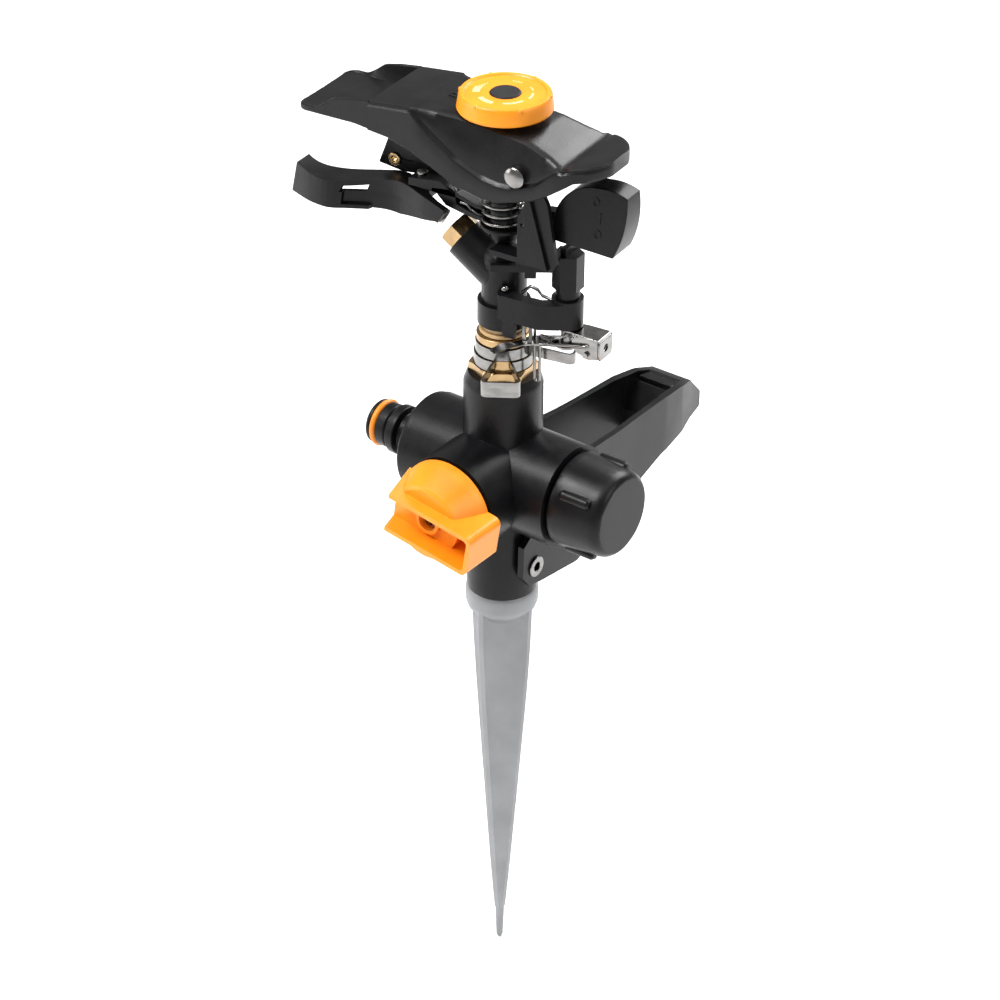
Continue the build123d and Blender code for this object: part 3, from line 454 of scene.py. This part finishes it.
# ---- index bars beside the dial, and domed pin heads ----
bars = Shape()
for t in (-1.3, 0.5):
    rows = []
    for u in (-20.4, -15.9):
        z = along(HOOD_TOP, u) + 0.02
        rows.append([(u, t - 0.45, z - 0.5), (u, t + 0.45, z - 0.5), (u, t + 0.32, z + 0.42), (u, t - 0.32, z + 0.42)])
    bars.loops(rows)
piece(bars, "index_bars", HOOD_BLACK, "hood_cover", bevel=0.1)


def domed_head(name, sign):
    """Rivet-like head of the hood's hinge pin."""
    head = Shape()
    profile = [(0.0, 1.05), (1.2, 1.0), (2.3, 0.8), (3.1, 0.42), (3.5, 0.15), (3.6, 0.0), (0.0, 0.0)]
    head.turned(profile, side_turn(PIN_U, sign * 17.35, PIN_Z, sign), steps=48)
    head.turned([(0.0, 6.0), (1.5, 6.0), (1.5, 0.0), (0.0, 0.0)], side_turn(PIN_U, sign * 11.4, PIN_Z, sign),
                steps=32)
    return piece(head, name + "_domed", STEEL, "head", name, slot="steel")


domed_head("hood_pin_near", -1)
domed_head("hood_pin_far", 1)


# ---- dial: plain printed marks ----
DIAL_TOP = 187.5


def ring_sector(shape, r0, r1, a0, a1, low, high, steps=10):
    """Flat sector of a ring between two angles in degrees."""
    rows = []
    for k in range(steps + 1):
        angle = radians(a0 + (a1 - a0) * k / steps)
        c, s = cos(angle), sin(angle)
        rows.append([(r0 * c, r0 * s, low), (r1 * c, r1 * s, low), (r1 * c, r1 * s, high), (r0 * c, r0 * s, high)])
    shape.loops(rows)


LOW, HIGH = DIAL_TOP - 0.3, DIAL_TOP + 0.06
marks = Shape()
for r0, r1, start, end in ((8.3, 10.6, 190, 214), (8.0, 9.7, 241, 279), (7.9, 8.9, 301, 347), (8.4, 9.2, 5, 34),
                           (8.8, 9.2, 46, 64)):
    ring_sector(marks, r0, r1, start, end, LOW, HIGH)
for k in range(4):
    ring_sector(marks, 8.3 + 0.15 * k, 10.0 - 0.25 * k, 184 - 6 * k, 187 - 6 * k, LOW, HIGH, steps=3)
    ring_sector(marks, 8.7, 9.3, 90 + 6 * k, 93.5 + 6 * k, LOW, HIGH, steps=3)
piece(marks, "dial_marks", ORANGE_PALE, "dial", slot="orange_plastic", in_head=False)


# ---- trip gear: bent leaf lever, over-centre wire and folded cheek ----
LEAF_NEAR = [(2.7, -13.6, 100.4), (4.7, -13.9, 100.4), (8.5, -10.1, 101.6), (13.1, -6.9, 102.6),
             (16.0, -5.7, 103.0), (18.7, -4.7, 103.2), (21.8, -3.6, 105.6), (25.2, -3.4, 107.9),
             (29.7, -3.0, 108.9), (35.2, -2.1, 108.5), (37.9, -2.0, 107.5)]
LEAF_FAR = [(2.5, -12.9, 100.5), (3.2, -11.2, 100.8), (5.4, -9.5, 102.1), (8.8, -7.0, 102.6), (11.2, -1.6, 102.6),
            (16.2, 0.4, 103.0), (20.6, -2.4, 104.9), (24.8, -2.75, 107.4), (29.5, -1.9, 108.0), (35.0, -1.1, 107.6),
            (37.9, -1.0, 106.6)]
POST_U = 24.3
PIN_CLEAR = 2.3


def ribbon(shape, near, far, thick):
    """Thin strip between two lines of points."""
    rows = []
    near, far = smooth_line(near), smooth_line(far)
    for i, (a, b) in enumerate(zip(near, far)):
        c = near[min(i + 1, len(near) - 1)] - near[max(i - 1, 0)]
        normal = c.cross(b - a)
        normal = normal.normalized() if normal.length > 1e-6 else Vector((0, 0, 1))
        if normal.z < 0:
            normal = -normal
        down = normal * thick
        rows.append([a, b, b - down, a - down])
    shape.loops(rows)


leaf = Shape()
ribbon(leaf, LEAF_NEAR, LEAF_FAR, 0.65)
for foot, tip in (((11.2, -5.4, 102.7), (9.7, -4.5, 109.2)), ((12.9, -4.6, 102.7), (12.1, -3.1, 109.2))):
    ribbon(leaf, [(foot[0] - 0.8, foot[1], foot[2]), (tip[0] - 0.35, tip[1], tip[2])],
           [(foot[0] + 0.8, foot[1], foot[2]), (tip[0] + 0.35, tip[1], tip[2])], 0.6)
ribbon(leaf, [(16.0, -3.6, 103.5), (20.4, -4.0, 103.5), (23.9, -4.3, 103.5)],
       [(15.4, 0.6, 103.5), (18.4, 0.8, 103.5), (20.9, 0.6, 103.5)], 0.45)
leaf.turned([(4.4, 103.5), (4.4, 103.0), (PIN_CLEAR, 103.0), (PIN_CLEAR, 103.5)], Matrix.Translation((POST_U, 0, 0)),
            steps=48)
piece(leaf, "trip_leaf_bent", STEEL, "trip", "trip_leaf", slot="steel", angle=30)

link = Shape()
link.tube(smooth_line([(17.0, -5.0, 103.0), (18.6, -5.2, 103.5), (21.9, -5.1, 104.1), (26.4, -5.0, 105.2),
                       (31.3, -4.9, 106.2), (33.6, -4.9, 106.7), (34.5, -4.2, 106.9), (34.7, -2.6, 106.9)]), 0.62,
          sides=12)
piece(link, "trip_wire", STEEL, "trip", slot="steel", angle=60)

def holed_plate(shape, point, radius, half_a, half_b, low, high, steps=24):
    """Square plate round a hole; point turns two distances and a level into a place."""
    rows = []
    for k in range(steps):
        angle = 2 * pi * k / steps
        c, s = cos(angle), sin(angle)
        reach = min(half_a / max(abs(c), 1e-6), half_b / max(abs(s), 1e-6))
        rows.append([point(radius * c, radius * s, low), point(reach * c, reach * s, low),
                     point(reach * c, reach * s, high), point(radius * c, radius * s, high)])
    shape.loops(rows + [rows[0]], cap_start=False, cap_end=False)


cheek = Shape()
CHEEK_LOW, CHEEK_TOP, CHEEK_END = 109.2, 109.9, 38.4
HOLE_Z = 105.8
cheek_side = [(38.2, 109.9), (38.2, 102.6), (35.6, 102.2), (32.4, 102.6), (29.6, 103.8), (28.3, 105.6), (28.5, 107.6),
              (29.8, 108.9), (31.6, 109.6)]
for t in (-4.2, 3.5):
    cheek.loops([[(u, t, z) for u, z in cheek_side], [(u, t + 0.7, z) for u, z in cheek_side]])
holed_plate(cheek, lambda a, b, level: (POST_U + a, b, level), PIN_CLEAR, 3.4, 3.5, CHEEK_LOW, CHEEK_TOP)
folds = ((27.7, 3.5, CHEEK_LOW, CHEEK_TOP), (30.5, 4.0, CHEEK_LOW, CHEEK_TOP),
         (CHEEK_END, 4.2, CHEEK_LOW, CHEEK_TOP), (CHEEK_END + 0.7, 4.2, 108.8, 109.3))
cheek.loops([[(u, -half, low), (u, half, low), (u, half, high), (u, -half, high)] for u, half, low, high in folds])
holed_plate(cheek, lambda a, b, level: (level, a, HOLE_Z + b), 1.4, 4.2, 3.6, CHEEK_END, CHEEK_END + 0.7)
piece(cheek, "trip_cheek_folded", STEEL, "trip", "trip_cheek", slot="steel", bevel=0.12, angle=40)


# ---- counterweight: three plain raised marks ----
def weight_face(z):
    """Near face of the counterweight, drafted."""
    return -(6.1 - 2.1 * (z - 141.0) / 25.0)


def raised_mark(shape, corners):
    """Low block on the counterweight over four (u, z) corners."""
    shape.loops([[(u, weight_face(z) + sink, z) for u, z in corners] for sink in (0.3, -0.22)])


def raised_ring(shape, u, z, half_u, half_z, width=0.35, steps=20):
    """Oval ring of low blocks on the counterweight."""
    for k in range(steps):
        ends = [2 * pi * k / steps, 2 * pi * (k + 1) / steps]
        outer = [(u + half_u * cos(a), z + half_z * sin(a)) for a in ends]
        inner = [(u + (half_u - width) * cos(a), z + (half_z - width) * sin(a)) for a in ends]
        raised_mark(shape, (outer[0], inner[0], inner[1], outer[1]))


raised = Shape()
raised_ring(raised, 36.6, 160.2, 1.2, 1.5)
raised_mark(raised, [(38.15, 153.1), (38.65, 153.1), (38.65, 156.9), (38.15, 156.9)])
raised_ring(raised, 37.8, 149.4, 1.3, 1.6)
piece(raised, "weight_marks", BLACK, "hammer", angle=30)


# ---- hammer arm: bearing sleeve on a thin flange, slotted forearm and tail web ----
arm = Shape()
arm.turned([(3.62, 158.6), (4.8, 158.6), (5.0, 158.4), (5.0, 141.7), (5.3, 141.4), (7.8, 141.3), (8.0, 141.1),
            (8.0, 140.2), (7.8, 140.0), (3.62, 140.0)], steps=72)
forearm_side = [(-35.0, 147.2), (-35.0, 149.8), (-30.0, 150.6), (-22.5, 151.6), (-16.0, 149.0), (-9.2, 146.6),
                (-5.2, 146.2), (-5.2, 141.2), (-9.0, 141.3), (-15.5, 142.4), (-20.5, 143.4), (-24.0, 147.2)]
arm.loops([[(u, -1.4, z) for u, z in forearm_side], [(u, 3.6, z) for u, z in forearm_side]])
for rim in (
        [(-35.0, 147.2), (-35.0, 149.8), (-30.0, 150.6), (-22.5, 151.6), (-17.0, 149.4), (-16.6, 147.2),
         (-24.0, 147.2)],
        [(-17.0, 149.4), (-16.0, 149.0), (-9.2, 146.6), (-5.2, 146.2), (-5.2, 145.2), (-9.0, 145.4), (-16.8, 147.6)],
        [(-24.0, 147.2), (-16.6, 147.2), (-16.2, 144.8), (-8.6, 142.9), (-5.2, 142.8), (-5.2, 141.2), (-9.0, 141.3),
         (-15.5, 142.4), (-20.5, 143.4)]):
    arm.loops([[(u, -3.6, z) for u, z in rim], [(u, -1.2, z) for u, z in rim]])
web_side = [(4.6, 140.6), (26.2, 143.4), (26.2, 151.9), (14.0, 150.4), (9.2, 149.6), (5.2, 147.0), (4.6, 146.0)]
arm.loops([[(u, -2.1, z) for u, z in web_side], [(u, 2.1, z) for u, z in web_side]])
piece(arm, "hammer_arm_cast", BLACK, "hammer", "hammer_arm", bevel=0.22, angle=35)

COIL_RADIUS, COIL_LOW, OPEN_TURNS, OPEN_PITCH, CLOSE_PITCH = 7.05, 142.4, 3.4, 3.1, 1.25
SPRING_WIRE = 0.5
coil = []
for k in range(260):
    turns = k / 48.0
    level = COIL_LOW + OPEN_PITCH * min(turns, OPEN_TURNS) + CLOSE_PITCH * max(0.0, turns - OPEN_TURNS)
    angle = radians(200) + 2 * pi * turns
    coil.append((COIL_RADIUS * cos(angle), COIL_RADIUS * sin(angle), level))
lead = [(-15.4, -2.4, 145.4), (-12.8, -2.4, 145.2), (-11.2, -2.6, 144.0), (-9.4, -2.7, 143.4)]
spring = Shape()
spring.tube(smooth_line(lead + [coil[0]], 5)[:-1] + [Vector(p) for p in coil]
            + smooth_line([coil[-1], (7.9, -3.6, 155.3), (9.4, -5.2, 155.0)], 4)[1:], SPRING_WIRE, sides=12)
piece(spring, "hammer_spring_wound", DARK_STEEL, "hammer", "hammer_spring", slot="steel", angle=80)


# ---- pedal: two raised pads of the tread ----
def pad(shape, y0, y1, half0, half1, top0, top1, foot):
    """Low block with sloping flanks, across the pedal."""
    low = [(-half0 - 0.5, y0, foot), (half0 + 0.5, y0, foot), (half1 + 0.5, y1, foot), (-half1 - 0.5, y1, foot)]
    high = [(-half0, y0 + 0.5, top0), (half0, y0 + 0.5, top0), (half1, y1 - 0.3, top1), (-half1, y1 - 0.3, top1)]
    shape.loops([low, high])


tread = Shape()
pad(tread, 92.6, 96.3, 7.2, 6.7, 38.4, 38.0, 35.0)
pad(tread, 97.0, 100.6, 6.4, 5.6, 37.7, 37.2, 35.0)
piece(tread, "pedal_tread", BLACK, "pedal", in_head=False, bevel=0.35, angle=30)


# ---- stage and light ----
def make_floor():
    """Plain pale floor just under the spike's tip."""
    mesh = bpy.data.meshes.new("floor")
    size, level = 6.0, -0.1609
    corners = [(-size, -size, level), (size, -size, level), (size, size, level), (-size, size, level)]
    mesh.from_pydata(corners, [], [(0, 1, 2, 3)])
    floor = bpy.data.objects.new("floor", mesh)
    bpy.context.scene.collection.objects.link(floor)
    mesh.materials.append(surface("floor", (0.93, 0.93, 0.93), (0.91, 0.91, 0.91), 0.75, bump=0.0, grain=30, wear=2))


make_floor()


def area_light(name, where, target, size, power):
    """Square white lamp turned to the target."""
    data = bpy.data.lights.new(name, "AREA")
    data.energy = power
    data.size = size
    lamp = bpy.data.objects.new(name, data)
    bpy.context.scene.collection.objects.link(lamp)
    direction = Vector(where) - Vector(target)
    lamp.matrix_world = Matrix.Translation(where) @ direction.to_track_quat("Z", "Y").to_matrix().to_4x4()


centre = (0.0, 0.0, 0.03)
area_light("key", tuple(back * 0.35 - right * 0.75 + Vector((0, 0, 1.05))), centre, 0.5, 19)
area_light("fill", tuple(back * 0.7 + right * 1.0 + Vector((0, 0, 0.35))), centre, 0.7, 5)
area_light("rim", tuple(-back * 0.8 + right * 0.55 + Vector((0, 0, 1.2))), centre, 0.7, 15)
area_light("side", tuple(-right * 1.2 + Vector((0, 0, 0.35))), centre, 0.6, 4)
sun_data = bpy.data.lights.new("sky", "SUN")
sun_data.energy = 1.2
sun_data.angle = radians(60)
sun = bpy.data.objects.new("sky", sun_data)
bpy.context.scene.collection.objects.link(sun)
sun.matrix_world = Vector((-0.15, -0.1, 1.0)).to_track_quat("Z", "Y").to_matrix().to_4x4()
world = bpy.data.worlds.new("studio")
world.use_nodes = True
world.node_tree.nodes["Background"].inputs["Color"].default_value = (1, 1, 1, 1)
world.node_tree.nodes["Background"].inputs["Strength"].default_value = 0.30
bpy.context.scene.world = world
bpy.context.scene.view_settings.view_transform = "Standard"
